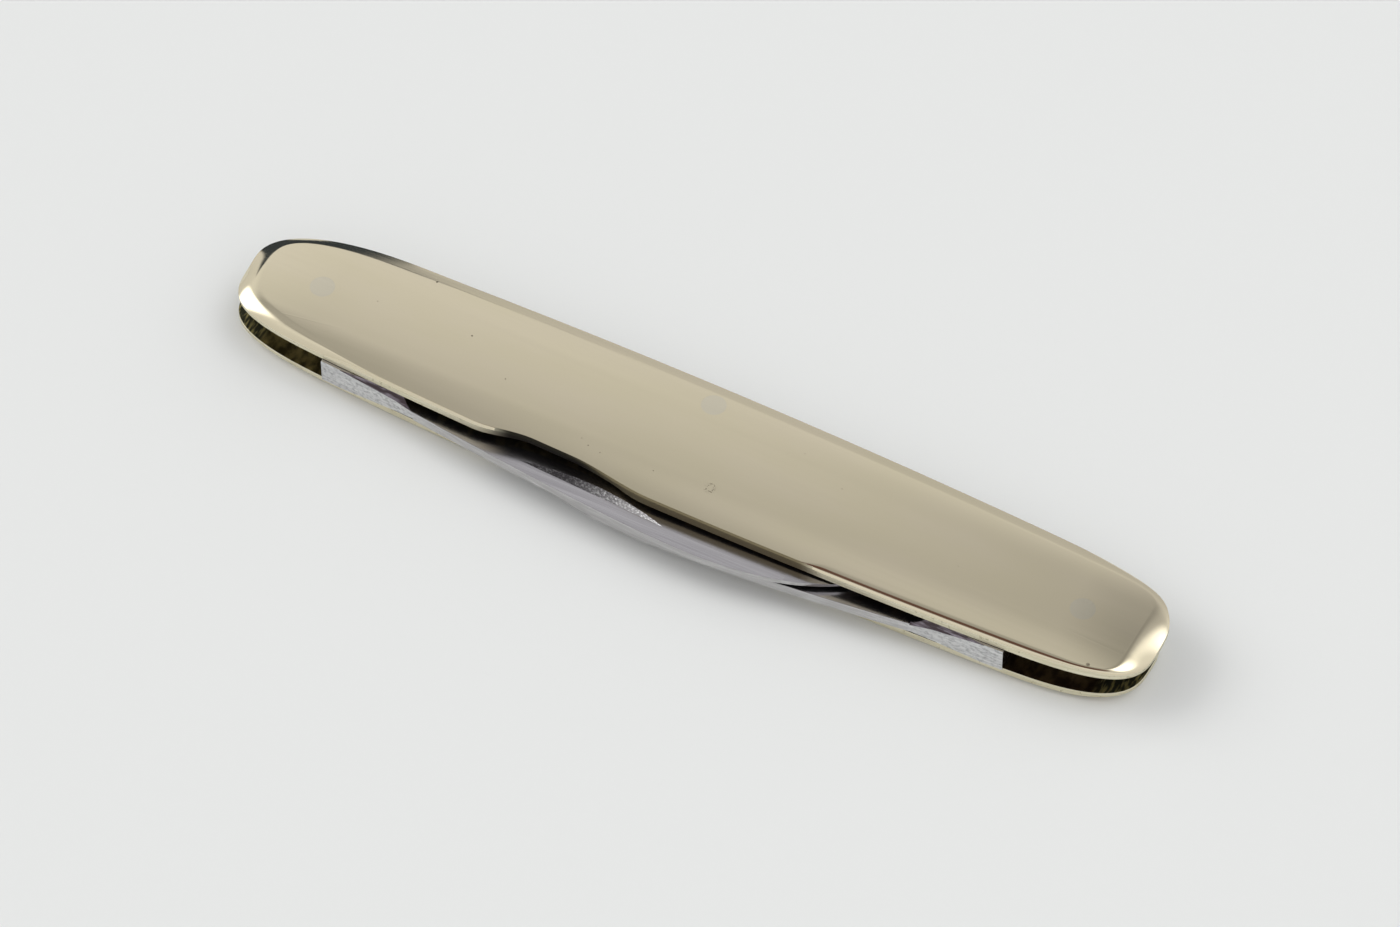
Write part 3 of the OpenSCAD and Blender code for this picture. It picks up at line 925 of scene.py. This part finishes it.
# the backs, dressed across on a finer stone: pale, with grey mottles and scratches on the tangs
dressed_back, dressed, metal = shaded("dressed_back_steel", "ShaderNodeBsdfPrincipled")
place = metal.node("ShaderNodeTexCoord", {}, {}, 3)
along, _, _ = place.apart()
strokes = drawn_noise(metal, place, (9000, 9000, 900), 2.0)
mottle = drawn_noise(metal, place, (2600, 2600, 4200), 3.0)
lengthwise = drawn_noise(metal, place, (60, 5000, 5000), 2.0)
on_tang = along.maths("ABSOLUTE", along).ranged(19 * mm, 25 * mm)
mottled = mottle.ranged(0.42, 0.7) * (0.2 + strokes) * on_tang
thin_back = lengthwise.ranged(0.3, 0.7).blended((0.44, 0.43, 0.43, 1), (0.57, 0.56, 0.56, 1))
tang_back = lengthwise.ranged(0.3, 0.7).blended((0.58, 0.58, 0.59, 1), (0.72, 0.72, 0.72, 1))
pale = on_tang.blended(thin_back, tang_back)
back_colour = mottled.blended(pale, (0.36, 0.36, 0.37, 1))
metal.tree.links.new(back_colour.socket, dressed.inputs["Base Color"])
dressed.inputs["Metallic"].default_value = 1
back_rough = 0.2 + on_tang * 0.14 + lengthwise * 0.1 + mottled * 0.2
metal.tree.links.new(back_rough.socket, dressed.inputs["Roughness"])
back_height = strokes * on_tang - mottled * 1.5 + lengthwise * 0.2
back_bump = metal.node(
    "ShaderNodeBump", {}, {"Strength": 0.6, "Distance": 0.00001, "Height": back_height}
)
metal.tree.links.new(back_bump.socket, dressed.inputs["Normal"])

# the nick's floor, left rough by the wheel, with a torn texture: painted shade, near black, toward
# the handle's left, and painted glints, bright specks, toward its right
rough_nick, rough, metal = shaded("rough_nick_steel", "ShaderNodeBsdfPrincipled")
place = metal.node("ShaderNodeTexCoord", {}, {}, 3)
along, _, _ = place.apart()
torn = drawn_noise(metal, place, (5200, 8000, 8000), 3.0)
# painted shade toward the left end of the nick, and painted glints toward the right
painted_light_end = along.ranged(-9 * mm, 1.5 * mm)
nick_floor = painted_light_end.blended((0.05, 0.047, 0.05, 1), (0.46, 0.45, 0.46, 1))
painted_glints = torn.ranged(0.45, 0.7) * (0.12 + painted_light_end * 0.88)
nick_colour = painted_glints.blended(nick_floor, (0.95, 0.95, 0.95, 1))
metal.tree.links.new(nick_colour.socket, rough.inputs["Base Color"])
rough.inputs["Metallic"].default_value = 1
rough.inputs["Roughness"].default_value = 0.34
nick_bump = metal.node(
    "ShaderNodeBump", {}, {"Strength": 1.0, "Distance": 0.00006, "Height": torn}
)
metal.tree.links.new(nick_bump.socket, rough.inputs["Normal"])

# the bevels beside the tang backs, ground but never polished, and darkened with painted shade
bevel_painted_shade, bevelled, metal = shaded("bevel_steel_painted_shade", "ShaderNodeBsdfPrincipled")
place = metal.node("ShaderNodeTexCoord", {}, {}, 3)
dark_marks = drawn_noise(metal, place, (700, 4000, 4000), 3.0)
# painted shade: the bevels are dark, near black in places, in the gap under the covers' rims
bevel_colour = dark_marks.ranged(0.4, 0.75).blended((0.07, 0.055, 0.06, 1), (0.30, 0.27, 0.31, 1))
metal.tree.links.new(bevel_colour.socket, bevelled.inputs["Base Color"])
bevelled.inputs["Metallic"].default_value = 1
metal.tree.links.new((0.25 + dark_marks * 0.25).socket, bevelled.inputs["Roughness"])
bevel_bump = metal.node(
    "ShaderNodeBump", {}, {"Strength": 0.5, "Distance": 0.00001, "Height": dark_marks}
)
metal.tree.links.new(bevel_bump.socket, bevelled.inputs["Normal"])

left_seat = Matrix.Translation((-pivot_x, 0, mid_z))
right_seat = Matrix.Translation((pivot_x, 0, mid_z)) @ Matrix.Rotation(math.pi, 4, "Y")
# the length, the tang's step, the back's highest place and its height there, the nick's place
for name, node, length, step_x, top_x, top_y, nick_x, seat in (
    ("long_blade", "master_blade", 53 * mm, master_step_x, 38.3 * mm, 8.9 * mm, 28.9 * mm, left_seat),
    ("short_blade", "pen_blade", 50 * mm, pen_step_x, 35.5 * mm, 8.45 * mm, 28 * mm, right_seat),
):
    blade = ground_blade(name, length, step_x, top_x, top_y)
    blade.data.materials.append(ground_steel)
    bored(blade, 0, 0, pin_r + bore_gap)
    for side in (1, -1):
        stone = back_bevel(step_x, side)
        stone.data.materials.append(bevel_painted_shade)
        carve(blade, stone)
    wheel = blade_nick(length, top_y, nick_x)
    wheel.data.materials.append(rough_nick)
    carve(blade, wheel)
    blade.data.transform(seat)
    blade.data.materials.append(dressed_back)
    for face in blade.data.polygons:
        if face.normal.y < -0.6 and face.material_index == 0:
            face.material_index = len(blade.data.materials) - 1
    smoothed(blade, 10)
    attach(blade, node)
    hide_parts(node)


# Pins
# Three plain steel pins hold the knife together: one through each tang as its pivot and one
# through the middle of the spring. Their ends are filed flush with the covers and polished over.
pin_chamfer = 0.001 * mm


def dressed_pin(name, px, py):
    """A pin whose two ends follow the crown of the covers"""
    rings = []
    turns = [2 * math.pi * i / round_steps for i in range(round_steps)]
    for radius, side, drop in (
        (pin_r * 0.5, -1, 0), (pin_r - pin_chamfer, -1, 0), (pin_r, -1, pin_chamfer),
        (pin_r, 1, pin_chamfer), (pin_r - pin_chamfer, 1, 0), (pin_r * 0.5, 1, 0),
    ):
        ring = []
        for turned_by in turns:
            x = px + radius * math.cos(turned_by)
            y = py + radius * math.sin(turned_by)
            reach = channel_h / 2 + crown_z(x, y, max(0, side) * centre_rise) - drop
            ring.append((x, y, mid_z + side * reach))
        rings.append(ring)
    return drawn_up(name, rings)


pin_steel, pinned, metal = shaded("pin_steel", "ShaderNodeBsdfPrincipled")
place = metal.node("ShaderNodeTexCoord", {}, {}, 3)
wiped = drawn_noise(metal, place, (60, 5200, 5200), 3.0)
pin_colour = wiped.ranged(0.3, 0.7).blended((0.695, 0.645, 0.515, 1), (0.71, 0.658, 0.525, 1))
metal.tree.links.new(pin_colour.socket, pinned.inputs["Base Color"])
pinned.inputs["Metallic"].default_value = 1
metal.tree.links.new((0.09 + wiped * 0.04).socket, pinned.inputs["Roughness"])
pin_bump = metal.node(
    "ShaderNodeBump", {}, {"Strength": 1.0, "Distance": 0.000001, "Height": wiped * 0.2}
)
metal.tree.links.new(pin_bump.socket, pinned.inputs["Normal"])
for name, node, (px, py) in (
    ("left_pivot", "master_pivot_pin", pin_places[0]),
    ("right_pivot", "pen_pivot_pin", pin_places[1]),
    ("middle_pin", "spring_pin", pin_places[2]),
):
    pin = dressed_pin(name, px, py)
    pin.data.materials.append(pin_steel)
    smoothed(pin, 30)
    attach(pin, "handle")
    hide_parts(node)
